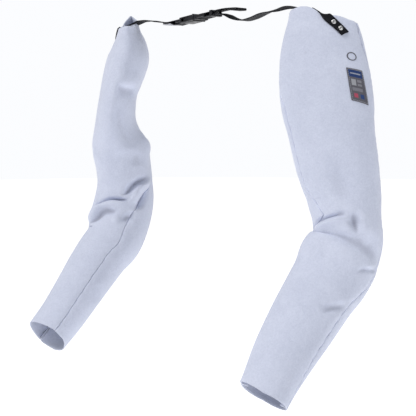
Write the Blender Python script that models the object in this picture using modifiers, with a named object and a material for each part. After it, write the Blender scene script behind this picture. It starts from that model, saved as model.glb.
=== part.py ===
"""Pair of split-leather welding sleeves joined by a webbing strap with a side-release buckle.

Metres, +Z up. The wearer faces -Y and +X is the wearer's left. The origin is midway between the shoulders,
under the middle of the strap. The left sleeve is built from its stations, and the right one mirrors it.
"""
import math

import bmesh
import bpy
import numpy as np
from mathutils import Matrix, Vector

# ---------------------------------------------------------------- driving dimensions
LEATHER = 0.0016          # split leather
WEB_WIDTH = 0.020
WEB_THICK = 0.0012
GAP = 0.0003              # left between pieces that touch

# Stations of the left sleeve, from the shoulder down:
# centre x, y, z, broad half-width, narrow half-width, slant of the cut edge, seam allowance
BROAD_TURN = math.radians(45)     # the broad axis points outward and back
MOUTH = (0.2015, 0.0025, -0.006, 0.047, 0.0185, 0.22, 0.008)
HEAD = (0.2080, 0.0000, -0.045, 0.056, 0.0270, 0.06, 0.008)
WIDEST = (0.2165, -0.0040, -0.095, 0.063, 0.0340, 0.0, 0.008)
MIDDLE = (0.2270, -0.0070, -0.150, 0.0615, 0.0360, 0.0, 0.008)
LOWER = (0.2335, 0.0030, -0.202, 0.0575, 0.0460, 0.0, 0.008)
ABOVE_ELBOW = (0.2380, 0.0140, -0.240, 0.0535, 0.0490, 0.0, 0.008)
FOREARM_TOP = (0.2370, -0.0160, -0.3620, 0.050, 0.0470, 0.0, 0.008)
FOREARM_MIDDLE = (0.2330, -0.0600, -0.4090, 0.047, 0.0430, 0.0, 0.008)
FOREARM_LOWER = (0.2325, -0.0945, -0.4430, 0.044, 0.0400, 0.0, 0.008)
WRIST = (0.2335, -0.1235, -0.4750, 0.040, 0.0380, 0.0, 0.008)
CUFF = (0.2350, -0.1465, -0.5010, 0.038, 0.0370, 0.0, 0.008)

# Elbow: the forearm's neck stands inside the upper sleeve's lower rim
ELBOW = Vector((0.2405, 0.0125, -0.300))
ELBOW_RUN = Vector((0.02, -0.20, -0.98)).normalized()   # the sleeve's direction there
RIM_ABOVE = (0.030, 0.016)        # stations of the upper sleeve's rim, above the elbow's middle
NECK_ABOVE = (0.022, 0.010, -0.002)
RIM_RADIUS = 0.049
NECK_RADIUS = 0.0438
RIM_SEAM = 0.0018
NECK_SEAM = 0.006

# Riveted strap end: the strap crosses the mouth along X and folds down over its front edge
FOLD_AT = 0.004           # place of the fold along the broad axis
STRAP_LIFT = 0.0013       # strap's middle above the leather
END_START = -0.014        # along the strap, from the fold
FOLD_SPAN = 0.0125        # the diagonal fold lies within this distance along the strap
END_LENGTH = 0.036
END_WIDTH = 0.013         # the end's edges are folded under, so it is narrower than the strap
NARROW_FROM = -0.010      # along the strap, where it starts to narrow
RIVETS_AT = (0.015, 0.028)
RIVET_CAP_RADIUS = 0.0038
RIVET_CAP_HEIGHT = 0.0014
RIVET_POST_RADIUS = 0.0014
RIVET_HOLE_RADIUS = 0.0018
HOLE_REACH = 0.006        # of the hole's cutter, to each side of the leather
BURR_THICK = 0.0009
BURR_CLEAR = 0.0011       # between the burr and the true curve of the leather, whose facets lie inside it

# Label on the left sleeve
LABEL_DEPTH = 0.098
LABEL_ANGLE = math.radians(49)
LABEL_HALF_WIDTH = 0.0125
LABEL_HALF_HEIGHT = 0.023
LABEL_THICK = 0.0006

# Buckle, in its own frame: u along the strap towards the left sleeve, v across, w up; u = 0 is the socket's mouth
BUCKLE_AT = Vector((-0.0476, 0.011, 0.0045))
BUCKLE_PITCH = math.radians(7)
SOCKET_LENGTH = 0.031
SOCKET_HALF_WIDTH = 0.015
SOCKET_HALF_HEIGHT = 0.0046
CAVITY_HALF_WIDTH = 0.013
CAVITY_HALF_HEIGHT = 0.0028
REAR_BAR = (-0.0415, -0.0370)
REAR_PLATE_HALF = 0.0018
PLUG_LENGTH = 0.0225
PLUG_HALF_WIDTH = 0.0135
PLUG_PLATE_HALF = 0.0015
SLOT_HALF_WIDTH = 0.0108
INNER_SLOT = (0.0060, 0.0098)
OUTER_SLOT = (0.0140, 0.0180)
ARM_HALF_HEIGHT = 0.0023
ARM_PIVOT = (-0.0012, 0.0092)
KEEPER = (0.0330, 0.0380)
KEEPER_WALL = 0.0012

# Tail and lower strand of the left webbing past the buckle, and the strap on both sides: x, y, z
TAIL = [(0.000, 0.0115, 0.0129), (0.012, 0.0125, 0.0140), (0.026, 0.0135, 0.0142), (0.038, 0.0140, 0.0138)]
HEM_RADIUS = 0.0013
HEM_LENGTH = 0.012
LEFT_STRAND = [
    (0.000, 0.0115, 0.0079), (0.012, 0.0125, 0.0048), (0.025, 0.0135, -0.0008), (0.042, 0.0145, -0.0045),
    (0.062, 0.0140, -0.0025), (0.085, 0.0125, 0.0040), (0.110, 0.0110, 0.0090), (0.135, 0.0085, 0.0105),
    (0.160, 0.0055, 0.0090), (0.180, 0.0020, 0.0055), (0.193, -0.0010, 0.0005),
]
RIGHT_STRAND = [
    (-0.110, 0.0110, 0.0000), (-0.135, 0.0090, 0.0020), (-0.160, 0.0055, 0.0055),
    (-0.180, 0.0020, 0.0045), (-0.193, -0.0010, 0.0005),
]
FOLD_BACK_TO = -0.122     # x where the right webbing's folded end stops
FOLD_BACK_DROP = 0.0056   # from the strap down to its folded end, at the buckle
BACKING_THICK = 0.0014

# ---------------------------------------------------------------- scene and small helpers
for old in list(bpy.data.objects):
    bpy.data.objects.remove(old, do_unlink=True)

parts = bpy.data.collections.new("welding_sleeves")
cutters = bpy.data.collections.new("cutters")
bpy.context.scene.collection.children.link(parts)
bpy.context.scene.collection.children.link(cutters)


def material(name, colour, roughness, metallic=0.0):
    found = bpy.data.materials.new(name)
    found.use_nodes = True
    shader = found.node_tree.nodes["Principled BSDF"]
    shader.inputs["Base Color"].default_value = (*colour, 1.0)
    shader.inputs["Roughness"].default_value = roughness
    shader.inputs["Metallic"].default_value = metallic
    return found


LEATHER_GREY = (0.60, 0.63, 0.73)
WEBBING_BLACK = (0.030, 0.032, 0.038)
PLASTIC_BLACK = (0.020, 0.020, 0.023)
STEEL = (0.62, 0.63, 0.65)
LABEL_GREY = (0.16, 0.16, 0.20)
BACKING_GREY = (0.52, 0.54, 0.58)


def new_object(name, data, finish):
    obj = bpy.data.objects.new(name, data)
    data.materials.append(material(name, *finish))
    parts.objects.link(obj)
    return obj


def linked(obj, collection):
    """Move an object made by an operator into one of this file's collections."""
    for other in list(obj.users_collection):
        other.objects.unlink(obj)
    collection.objects.link(obj)
    return obj


def as_cutter(obj):
    linked(obj, cutters)
    obj.hide_render = True
    obj.display_type = "WIRE"
    return obj


def boolean(obj, other, operation="DIFFERENCE"):
    change = obj.modifiers.new(other.name, "BOOLEAN")
    change.operation = operation
    change.object = other
    change.solver = "EXACT"


def solidify(obj, thickness, offset):
    shell = obj.modifiers.new("thickness", "SOLIDIFY")
    shell.thickness = thickness
    shell.offset = offset
    shell.use_even_offset = True
    shell.use_quality_normals = True


def lofted(name, rows, finish, flip=False):
    """An open surface through rows of points, each row as long as the next."""
    mesh = bpy.data.meshes.new(name)
    bm = bmesh.new()
    grid = [[bm.verts.new(point) for point in row] for row in rows]
    for upper, lower in zip(grid, grid[1:]):
        for k in range(len(upper) - 1):
            corners = [upper[k], upper[k + 1], lower[k + 1], lower[k]]
            bm.faces.new(corners[::-1] if flip else corners)
    bm.to_mesh(mesh)
    bm.free()
    return new_object(name, mesh, finish)


def mirrored(point, side):
    return Vector((point[0] * side, point[1], point[2]))


# ---------------------------------------------------------------- sleeve surface
UPPER = [MOUTH, HEAD, WIDEST, MIDDLE, LOWER, ABOVE_ELBOW]
UPPER += [(*(ELBOW - ELBOW_RUN * above), RIM_RADIUS, RIM_RADIUS, 0.0, RIM_SEAM) for above in RIM_ABOVE]
FOREARM = [(*(ELBOW - ELBOW_RUN * above), NECK_RADIUS, NECK_RADIUS, 0.0, NECK_SEAM) for above in NECK_ABOVE]
FOREARM += [FOREARM_TOP, FOREARM_MIDDLE, FOREARM_LOWER, WRIST, CUFF]


def distances(rows):
    """Distance of each point along the line through them; a row starts with its point's x, y and z."""
    centres = np.array(rows)[:, :3]
    return np.concatenate([[0.0], np.cumsum(np.linalg.norm(np.diff(centres, axis=0), axis=1))])


def section(stations, depth):
    """The station at any depth, on a smooth curve through the given ones."""
    rows, knots = np.array(stations), distances(stations)
    slopes = np.gradient(rows, knots, axis=0)
    k = int(np.clip(np.searchsorted(knots, depth) - 1, 0, len(knots) - 2))
    span = knots[k + 1] - knots[k]
    t = (depth - knots[k]) / span
    return ((2 * t**3 - 3 * t**2 + 1) * rows[k] + (t**3 - 2 * t**2 + t) * span * slopes[k]
            + (3 * t**2 - 2 * t**3) * rows[k + 1] + (t**3 - t**2) * span * slopes[k + 1])


def frame_at(stations, depth):
    """Centre, direction down the sleeve, broad axis and narrow axis of the section there."""
    step = 0.002
    ahead, behind = (section(stations, depth + d)[:3] for d in (step, -step))
    down = Vector(ahead - behind).normalized()
    broad = Vector((math.cos(BROAD_TURN), math.sin(BROAD_TURN), 0.0))
    broad = (broad - down * broad.dot(down)).normalized()
    return Vector(section(stations, depth)[:3]), down, broad, down.cross(broad)


def front_point(stations, depth, along_broad):
    """A point on the front face of the sleeve, given its place along the broad axis."""
    _, _, _, half_broad, half_narrow, slant, _ = section(stations, depth)
    centre, down, broad, narrow = frame_at(stations, depth)
    height = half_narrow * math.sqrt(1.0 - (along_broad / half_broad)**2)
    return centre + broad * along_broad + narrow * height + down * (slant * along_broad)


def skin(stations, depth, along_broad, lift=0.0):
    """A point over the front face of the sleeve, and the face's outward normal there."""
    step = 0.001
    lower, upper = (front_point(stations, depth + d, along_broad) for d in (step, -step))
    outer, inner = (front_point(stations, depth, along_broad + d) for d in (step, -step))
    out = (lower - upper).cross(outer - inner).normalized()
    return front_point(stations, depth, along_broad) + out * lift, out


def panel(name, stations, side, face):
    """Half of the tube between its two seams, with both seam allowances turned in. face is +1 front, -1 back."""
    arc_steps = 14
    knots = distances(stations)
    rows = []
    for depth in np.sort(np.concatenate([knots, (knots[1:] + knots[:-1]) / 2])):
        _, _, _, half_broad, half_narrow, slant, seam = section(stations, depth)
        centre, down, broad, narrow = frame_at(stations, depth)
        outline = [(half_broad - seam, 0.0)]
        for k in range(arc_steps + 1):
            angle = math.pi * k / arc_steps
            outline.append((half_broad * math.cos(angle), half_narrow * math.sin(angle)))
        outline.append((seam - half_broad, 0.0))
        rows.append([mirrored(centre + broad * u + narrow * (face * (v + GAP)) + down * (slant * u), side)
                     for u, v in outline])
    obj = lofted(name, rows, (LEATHER_GREY, 0.85), flip=face * side < 0)
    solidify(obj, LEATHER, -1.0)
    return obj


# ---------------------------------------------------------------- strap end and rivets
def over_the_edge(along, across):
    """A point of the strap's middle surface where it folds over the mouth's front edge.

    The strap runs along X and the edge along the broad axis, at 45 degrees to it, so the fold is diagonal.
    """
    place = FOLD_AT + (along + across) * math.cos(BROAD_TURN)
    past = (along - across) * math.cos(BROAD_TURN)
    edge, _ = skin(UPPER, 0.0, place)
    _, down, _, narrow = frame_at(UPPER, 0.0)
    quarter = STRAP_LIFT * math.pi / 2
    if past <= 0.0:
        return edge + narrow * past - down * STRAP_LIFT
    if past < quarter:
        angle = past / STRAP_LIFT
        return edge + (narrow * math.sin(angle) - down * math.cos(angle)) * STRAP_LIFT
    return skin(UPPER, past - quarter, place, STRAP_LIFT)[0]


ACROSS = [WEB_WIDTH * (k / 4 - 0.5) for k in range(5)]
FOLD_ACROSS = [WEB_WIDTH * (k / 6 - 0.5) for k in range(7)]
ROW_STEP = 0.0012         # between rows of the fold, and between the strap's two solids


def end_share(along):
    """Width of the strap's end there, as a share of the strap's width."""
    t = min(max((along - NARROW_FROM) / -NARROW_FROM, 0.0), 1.0)
    return 1.0 - (1.0 - END_WIDTH / WEB_WIDTH) * t * t * (3.0 - 2.0 * t)


def strap_end(name, side):
    fold = np.arange(END_START, FOLD_SPAN, ROW_STEP)
    flat = np.linspace(FOLD_SPAN, END_LENGTH, 7)
    rows = [[mirrored(over_the_edge(along, across * end_share(along)), side) for across in FOLD_ACROSS]
            for along in np.concatenate([fold, flat])]
    obj = lofted(name, rows, (WEBBING_BLACK, 0.8))
    solidify(obj, WEB_THICK, 0.0)
    return obj


def turned(name, profile, finish):
    """A profile of (radius, height) points, top to bottom, turned round Z."""
    mesh = bpy.data.meshes.new(name)
    bm = bmesh.new()
    points = [bm.verts.new((radius, 0.0, height)) for radius, height in profile]
    for first, second in zip(points, points[1:]):
        bm.edges.new((first, second))
    if profile[0][0] > 0.0:
        bm.edges.new((points[-1], points[0]))
    bm.to_mesh(mesh)
    bm.free()
    obj = new_object(name, mesh, finish)
    screw = obj.modifiers.new("turn", "SCREW")
    screw.steps = 16
    screw.render_steps = 16
    screw.use_merge_vertices = True
    screw.merge_threshold = 0.00001
    return obj


def stand_on_leather(obj, side, along):
    """Put an object's origin on the leather under the strap at a rivet, its Z out of the leather."""
    place = FOLD_AT + along * math.cos(BROAD_TURN)
    depth = along * math.cos(BROAD_TURN) - STRAP_LIFT * math.pi / 2
    point, out = skin(UPPER, depth, place)
    out = mirrored(out, side)
    obj.location = mirrored(point, side)
    obj.rotation_mode = "QUATERNION"
    obj.rotation_quaternion = out.to_track_quat("Z", "Y")


def rivet(label, side, along, strap, leather):
    """A domed cap on a post through strap and leather, and the burr that it is closed over."""
    top = STRAP_LIFT + WEB_THICK / 2 + 2 * GAP
    inside = -LEATHER - BURR_CLEAR
    post_end = inside - BURR_THICK - 2 * GAP
    dome = [(RIVET_CAP_RADIUS * math.sin(a), top + RIVET_CAP_HEIGHT * (0.35 + 0.65 * math.cos(a)))
            for a in (0.0, 0.4, 0.8, 1.2, math.pi / 2)]
    cap = turned(f"{label}_cap", dome + [
        (RIVET_CAP_RADIUS, top), (RIVET_POST_RADIUS, top), (RIVET_POST_RADIUS, post_end), (0.0, post_end)],
        (STEEL, 0.25, 1.0))
    burr = turned(f"{label}_burr", [
        (RIVET_HOLE_RADIUS, inside), (RIVET_CAP_RADIUS, inside),
        (RIVET_CAP_RADIUS, inside - BURR_THICK), (RIVET_HOLE_RADIUS, inside - BURR_THICK)], (STEEL, 0.35, 1.0))
    hole = as_cutter(turned(f"{label}_hole", [
        (0.0, HOLE_REACH), (RIVET_HOLE_RADIUS, HOLE_REACH), (RIVET_HOLE_RADIUS, -HOLE_REACH), (0.0, -HOLE_REACH)],
        (STEEL, 0.5)))
    for obj in (cap, burr, hole):
        stand_on_leather(obj, side, along)
    boolean(strap, hole)
    boolean(leather, hole)


def sleeve(word, side):
    front = panel(f"{word}_front_upper_panel", UPPER, side, 1)
    panel(f"{word}_back_upper_panel", UPPER, side, -1)
    panel(f"{word}_front_forearm_panel", FOREARM, side, 1)
    panel(f"{word}_back_forearm_panel", FOREARM, side, -1)
    end = strap_end(f"{word}_strap_end", side)
    for place, along in zip(("upper", "lower"), RIVETS_AT):
        rivet(f"{word}_{place}_rivet", side, along, end, front)


def label(name):
    """The sewn label, which follows the leather of the left sleeve."""
    rows = []
    half_broad = section(UPPER, LABEL_DEPTH)[3]
    middle = half_broad * math.cos(LABEL_ANGLE)
    for down in np.linspace(-LABEL_HALF_HEIGHT, LABEL_HALF_HEIGHT, 9):
        lean = 0.12 * down
        rows.append([skin(UPPER, LABEL_DEPTH + down, middle + lean - across * math.sin(LABEL_ANGLE),
                          GAP + LABEL_THICK)[0]
                     for across in np.linspace(-LABEL_HALF_WIDTH, LABEL_HALF_WIDTH, 6)])
    obj = lofted(name, rows, (LABEL_GREY, 0.7))
    solidify(obj, LABEL_THICK, -1.0)


# ---------------------------------------------------------------- webbing
def buckle_point(u, w):
    along = Vector((math.cos(BUCKLE_PITCH), 0.0, math.sin(BUCKLE_PITCH)))
    up = Vector((-math.sin(BUCKLE_PITCH), 0.0, math.cos(BUCKLE_PITCH)))
    return BUCKLE_AT + along * u + up * w


def smooth_route(points, per_span):
    """A smooth curve through a strap's points, for the points of its strip."""
    knots = distances(points)
    steps = np.arange(len(knots) * per_span - per_span + 1) / per_span
    return [Vector(section(points, depth)) for depth in np.interp(steps, np.arange(len(knots)), knots)]


def flat_rows(route):
    """Rows across the strap at each point of its route, level and square to X."""
    return [[point + Vector((0.0, across, 0.0)) for across in ACROSS] for point in route]


def twisted_rows(side, from_route):
    """The strap's last stretch, which turns from level across Y to the slant of the mouth's edge."""
    last = [mirrored(over_the_edge(END_START - ROW_STEP, across), side) for across in ACROSS]
    first = flat_rows([from_route])[0]
    steps = 6
    return [[first[k].lerp(last[k], step / steps) for k in range(len(ACROSS))] for step in range(1, steps + 1)]


def half_turn(centre, radius, towards, start):
    """Points round a bar, in the buckle's frame: start is +1 from the top, -1 from below."""
    return [buckle_point(centre + towards * radius * math.sin(a), start * radius * math.cos(a))
            for a in (math.radians(d) for d in range(0, 181, 30))]


def left_webbing():
    """From the mouth of the left sleeve, under and round the plug's adjuster bar, to the free tail and its hem."""
    reach = PLUG_PLATE_HALF + GAP + WEB_THICK / 2
    strand = smooth_route(LEFT_STRAND, 4)
    route = strand[::-1]
    route += [buckle_point(u, -reach) for u in (0.040, 0.030, 0.020)]
    route += half_turn(INNER_SLOT[1], reach, -1, -1)
    route += [buckle_point(u, reach) for u in (0.020, 0.030, 0.040)]
    tail = smooth_route(TAIL, 3)
    route += tail
    tip = tail[-1] - Vector((0.0, 0.0, HEM_RADIUS))
    for angle in (math.radians(d) for d in range(30, 181, 30)):
        route.append(tip + Vector((HEM_RADIUS * math.sin(angle), 0.0, HEM_RADIUS * math.cos(angle))))
    route.append(route[-1] + Vector((-HEM_LENGTH, -0.0004, 0.0002)))
    rows = twisted_rows(1, strand[-1])[::-1] + flat_rows(route)
    obj = lofted("left_webbing", rows, (WEBBING_BLACK, 0.8))
    solidify(obj, WEB_THICK, 0.0)


def right_webbing():
    """From the mouth of the right sleeve to the socket's rear bar, round it and back under itself."""
    reach = REAR_PLATE_HALF + GAP + WEB_THICK / 2
    strand = smooth_route([tuple(buckle_point(REAR_BAR[0] - 0.008, reach + 0.0002))] + RIGHT_STRAND, 4)
    turn = half_turn(REAR_BAR[1], reach, 1, 1)
    back = buckle_point(REAR_BAR[0] - 0.008, -reach - 0.0002)
    end = Vector((FOLD_BACK_TO, back.y - 0.0002, strand[0].z - FOLD_BACK_DROP * 0.62))
    rows = twisted_rows(-1, strand[-1])[::-1] + flat_rows(strand[::-1] + turn + smooth_route([back, end], 4))
    obj = lofted("right_webbing", rows, (WEBBING_BLACK, 0.8))
    solidify(obj, WEB_THICK, 0.0)
    under = WEB_THICK / 2 + GAP + BACKING_THICK / 2 + GAP
    backing = [point - Vector((0.0, 0.0, under)) for point in smooth_route([back, end], 4)]
    obj = lofted("fold_backing", flat_rows(backing), (BACKING_GREY, 0.85))
    solidify(obj, BACKING_THICK, 0.0)


# ---------------------------------------------------------------- buckle
buckle_frame = bpy.data.objects.new("buckle_frame", None)
buckle_frame.location = BUCKLE_AT
buckle_frame.rotation_euler = (0.0, -BUCKLE_PITCH, 0.0)
parts.objects.link(buckle_frame)


def block(name, low, high, finish=None, bevel=0.0):
    """A box between two corners in the buckle's frame, a cutter unless it has a finish."""
    low, high = Vector(low), Vector(high)
    bpy.ops.mesh.primitive_cube_add(size=1.0)
    obj = bpy.context.active_object
    obj.name = name
    obj.data.transform(Matrix.Diagonal((*(high - low), 1.0)))
    obj.location = (low + high) / 2
    obj.parent = buckle_frame
    if finish:
        linked(obj, parts)
        obj.data.materials.append(material(name, *finish))
    else:
        as_cutter(obj)
    if bevel:
        rounding = obj.modifiers.new("rounding", "BEVEL")
        rounding.width = bevel
        rounding.segments = 2
    return obj


def socket():
    """The female half: a flat tunnel with open sides for the latch arms, and a bar for the webbing behind it."""
    body = block("buckle_socket", (-SOCKET_LENGTH, -SOCKET_HALF_WIDTH, -SOCKET_HALF_HEIGHT),
                 (0.0, SOCKET_HALF_WIDTH, SOCKET_HALF_HEIGHT), (PLASTIC_BLACK, 0.4), bevel=0.0016)
    rear = block("socket_rear", (REAR_BAR[0], -SOCKET_HALF_WIDTH + 0.0008, -REAR_PLATE_HALF),
                 (-SOCKET_LENGTH + 0.004, SOCKET_HALF_WIDTH - 0.0008, REAR_PLATE_HALF), bevel=0.0008)
    boolean(body, rear, "UNION")
    slot = block("rear_slot", (REAR_BAR[1], -SLOT_HALF_WIDTH, -0.01), (-SOCKET_LENGTH - 0.0005, SLOT_HALF_WIDTH, 0.01))
    boolean(body, slot)
    cavity = block("socket_cavity", (-SOCKET_LENGTH + 0.002, -CAVITY_HALF_WIDTH, -CAVITY_HALF_HEIGHT),
                   (0.01, CAVITY_HALF_WIDTH, CAVITY_HALF_HEIGHT), bevel=0.0005)
    boolean(body, cavity)
    window = block("side_windows", (-0.0260, -0.02, -CAVITY_HALF_HEIGHT), (-0.0110, 0.02, CAVITY_HALF_HEIGHT))
    boolean(body, window)


def plug():
    """The male half: a rib that closes the socket, a guide tongue, side rails and two bars for the webbing."""
    body = block("buckle_plug", (0.0004, -PLUG_HALF_WIDTH, -PLUG_PLATE_HALF),
                 (PLUG_LENGTH, PLUG_HALF_WIDTH, PLUG_PLATE_HALF), (PLASTIC_BLACK, 0.4), bevel=0.0007)
    rib = block("plug_rib", (0.0005, -0.0142, -0.0042), (0.0054, 0.0142, 0.0042), bevel=0.0012)
    boolean(body, rib, "UNION")
    tongue = block("guide_tongue", (-0.0240, -0.0034, -0.0016), (0.0015, 0.0034, 0.0016), bevel=0.0010)
    boolean(body, tongue, "UNION")
    for sign, word in ((-1, "front"), (1, "rear")):
        edges = sorted((sign * (SLOT_HALF_WIDTH + 0.0004), sign * (PLUG_HALF_WIDTH + 0.0002)))
        rail = block(f"{word}_rail", (0.0050, edges[0], -0.0026), (PLUG_LENGTH - 0.0006, edges[1], 0.0026),
                     bevel=0.0006)
        boolean(body, rail, "UNION")
    for word, (start, end) in (("inner", INNER_SLOT), ("outer", OUTER_SLOT)):
        boolean(body, block(f"{word}_slot", (start, -SLOT_HALF_WIDTH, -0.01), (end, SLOT_HALF_WIDTH, 0.01)))


def latch_arm(name, sign):
    """A prong of the plug whose shoulder catches behind the socket's side, with a pad that stands out of it."""
    outline = [(-0.0002, 0.0080), (-0.0002, 0.0104), (-0.0100, 0.0106), (-0.0116, 0.0144), (-0.0135, 0.0153),
               (-0.0175, 0.0155), (-0.0215, 0.0140), (-0.0250, 0.0108), (-0.0262, 0.0088), (-0.0250, 0.0078),
               (-0.0200, 0.0088), (-0.0120, 0.0080)]
    outline = [(u - ARM_PIVOT[0], sign * (v - ARM_PIVOT[1])) for u, v in outline]
    curve = bpy.data.curves.new(name, "CURVE")
    curve.dimensions = "2D"
    curve.fill_mode = "BOTH"
    curve.extrude = ARM_HALF_HEIGHT
    spline = curve.splines.new("POLY")
    spline.points.add(len(outline) - 1)
    for point, (u, v) in zip(spline.points, outline):
        point.co = (u, v, 0.0, 1.0)
    spline.use_cyclic_u = True
    obj = new_object(name, curve, (PLASTIC_BLACK, 0.4))
    obj.location = (ARM_PIVOT[0], sign * ARM_PIVOT[1], 0.0)
    obj.parent = buckle_frame
    return obj


def keeper():
    """A flat loop round the tail and the strand under it."""
    reach = PLUG_PLATE_HALF + 2 * GAP + WEB_THICK
    inner = (WEB_WIDTH / 2 + 0.0004, reach + 0.0002)
    outer = (inner[0] + KEEPER_WALL, inner[1] + KEEPER_WALL)
    body = block("keeper_loop", (KEEPER[0], -outer[0], -outer[1]), (KEEPER[1], outer[0], outer[1]),
                 (PLASTIC_BLACK, 0.5), bevel=0.0006)
    boolean(body, block("keeper_hole", (KEEPER[0] - 0.01, -inner[0], -inner[1]),
                        (KEEPER[1] + 0.01, inner[0], inner[1])))


# ---------------------------------------------------------------- the whole object
sleeve("left", 1)
sleeve("right", -1)
label("sleeve_label")
left_webbing()
right_webbing()
socket()
plug()
latch_arm("front_latch_arm", -1)
latch_arm("rear_latch_arm", 1)
keeper()
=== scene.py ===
"""Pair of split-leather welding sleeves on a webbing strap, as they hang when worn with the elbows bent.

Metres, +Z up. The wearer faces -Y and +X is the wearer's left. Each section below makes one kind of piece.
"""

import math

import bmesh
import bpy
import numpy as np
from mathutils import Matrix, Vector


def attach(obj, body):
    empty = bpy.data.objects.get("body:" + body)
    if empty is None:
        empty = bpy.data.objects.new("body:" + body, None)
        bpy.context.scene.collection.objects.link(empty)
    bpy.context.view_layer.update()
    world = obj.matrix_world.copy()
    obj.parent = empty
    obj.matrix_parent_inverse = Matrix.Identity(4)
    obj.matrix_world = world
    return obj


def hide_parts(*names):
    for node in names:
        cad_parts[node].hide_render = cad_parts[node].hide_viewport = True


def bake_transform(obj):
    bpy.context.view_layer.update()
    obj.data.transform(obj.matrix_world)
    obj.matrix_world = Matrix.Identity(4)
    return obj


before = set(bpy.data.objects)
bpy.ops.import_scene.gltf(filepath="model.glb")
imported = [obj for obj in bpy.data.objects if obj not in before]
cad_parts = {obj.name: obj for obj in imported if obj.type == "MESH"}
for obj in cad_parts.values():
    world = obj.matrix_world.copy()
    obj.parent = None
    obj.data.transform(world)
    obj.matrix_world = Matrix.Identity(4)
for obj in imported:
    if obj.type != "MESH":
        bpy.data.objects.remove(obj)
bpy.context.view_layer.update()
bpy.ops.object.select_all(action="DESELECT")

# ---------------------------------------------------------------- camera, floor and light
# A plain pale floor well below the sleeves, a bright even surround, one soft far lamp and two large near
# ones. The key lamp is a sun, so that the floor stays evenly bright out to its far edge.
camera = bpy.data.objects.new("camera", bpy.data.cameras.new("camera"))
camera.data.lens = 80.9
camera.data.sensor_width = 36.0
AIM = Vector((-0.009, -0.009, -0.289))
CAMERA_TURN, CAMERA_RISE = math.radians(45), math.radians(7)
CAMERA_DISTANCE = 1.45
camera.location = AIM + CAMERA_DISTANCE * Vector((
    math.sin(CAMERA_TURN) * math.cos(CAMERA_RISE), -math.cos(CAMERA_TURN) * math.cos(CAMERA_RISE),
    math.sin(CAMERA_RISE)))
camera.rotation_euler = (AIM - camera.location).to_track_quat("-Z", "Y").to_euler()
bpy.context.scene.collection.objects.link(camera)
bpy.context.scene.camera = camera

bpy.ops.mesh.primitive_circle_add(vertices=96, radius=6.0, fill_type="NGON", location=(0.0, 0.0, -0.78))
floor = bpy.context.active_object
floor.name = "floor"
floor_paint = bpy.data.materials.new("pale_floor")
floor_paint.use_nodes = True
paint = floor_paint.node_tree.nodes["Principled BSDF"]
paint.inputs["Base Color"].default_value = (0.93, 0.93, 0.94, 1.0)
paint.inputs["Roughness"].default_value = 0.9
paint.inputs["Emission Color"].default_value = (1.0, 1.0, 1.0, 1.0)
paint.inputs["Emission Strength"].default_value = 0.44
floor.data.materials.append(floor_paint)

world = bpy.data.worlds.new("surround")
bpy.context.scene.world = world
world.use_nodes = True
surround = world.node_tree.nodes["Background"]
surround.inputs["Color"].default_value = (0.97, 0.98, 1.0, 1.0)
seen = world.node_tree.nodes.new("ShaderNodeLightPath").outputs["Is Camera Ray"]
brightness = world.node_tree.nodes.new("ShaderNodeMapRange")
brightness.inputs["To Min"].default_value = 0.30      # what it gives the sleeves
brightness.inputs["To Max"].default_value = 1.0       # how bright it looks
world.node_tree.links.new(seen, brightness.inputs["Value"])
world.node_tree.links.new(brightness.outputs[0], surround.inputs["Strength"])
bpy.context.scene.view_settings.view_transform = "Standard"

for name, kind, place, power, colour in (
        ("key_lamp", "SUN", (-0.5, -1.3, 1.5), 1.6, (1.0, 0.99, 0.98)),
        ("side_lamp", "AREA", (1.9, 0.2, 0.5), 5.5, (0.96, 0.98, 1.0)),
        ("top_lamp", "AREA", (-0.1, 0.5, 1.8), 10.0, (0.97, 0.98, 1.0))):
    lamp = bpy.data.objects.new(name, bpy.data.lights.new(name, kind))
    lamp.data.energy = power
    lamp.data.color = colour
    lamp.location = place
    lamp.rotation_euler = (AIM - lamp.location).to_track_quat("-Z", "Y").to_euler()
    bpy.context.scene.collection.objects.link(lamp)
bpy.data.lights["key_lamp"].angle = math.radians(18)
bpy.data.lights["side_lamp"].size = 1.2
bpy.data.lights["top_lamp"].size = 1.6

# ---------------------------------------------------------------- suede: the leather's nap
# Split leather has no smooth grain side: both faces are a short, matt nap. The nap lies in soft clouds
# where hands have brushed it one way or the other, with pale fibres standing on a darker ground.


def new_group(name, inputs, outputs):
    """A shader node group with its sockets, and its input and output nodes."""
    group = bpy.data.node_groups.new(name, "ShaderNodeTree")
    for socket, kind, value in inputs:
        made = group.interface.new_socket(name=socket, in_out="INPUT", socket_type=kind)
        made.default_value = value
    for socket, kind in outputs:
        group.interface.new_socket(name=socket, in_out="OUTPUT", socket_type=kind)
    return group, group.nodes.new("NodeGroupInput"), group.nodes.new("NodeGroupOutput")


def math_node(tree, operation, first, second=None, third=None):
    node = tree.nodes.new("ShaderNodeMath")
    node.operation = operation
    for socket, value in zip(node.inputs, (first, second, third)):
        if value is None:
            continue
        if isinstance(value, (int, float)):
            socket.default_value = value
        else:
            tree.links.new(value, socket)
    return node.outputs[0]


def mix_colour(tree, factor, first, second):
    node = tree.nodes.new("ShaderNodeMix")
    node.data_type = "RGBA"
    for socket, value in ((node.inputs[0], factor), (node.inputs[6], first), (node.inputs[7], second)):
        if isinstance(value, (int, float, tuple)):
            socket.default_value = value
        else:
            tree.links.new(value, socket)
    return node.outputs[2]


def ranged(tree, value, low, high, to_low=0.0, to_high=1.0):
    node = tree.nodes.new("ShaderNodeMapRange")
    tree.links.new(value, node.inputs["Value"])
    for socket, number in zip(("From Min", "From Max", "To Min", "To Max"), (low, high, to_low, to_high)):
        node.inputs[socket].default_value = number
    return node.outputs[0]


def noise(tree, vector, scale, detail=3.0, roughness=0.55, distortion=0.0):
    node = tree.nodes.new("ShaderNodeTexNoise")
    tree.links.new(vector, node.inputs["Vector"])
    for socket, number in (("Scale", scale), ("Detail", detail), ("Roughness", roughness),
                           ("Distortion", distortion)):
        node.inputs[socket].default_value = number
    return node.outputs["Fac"]


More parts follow.
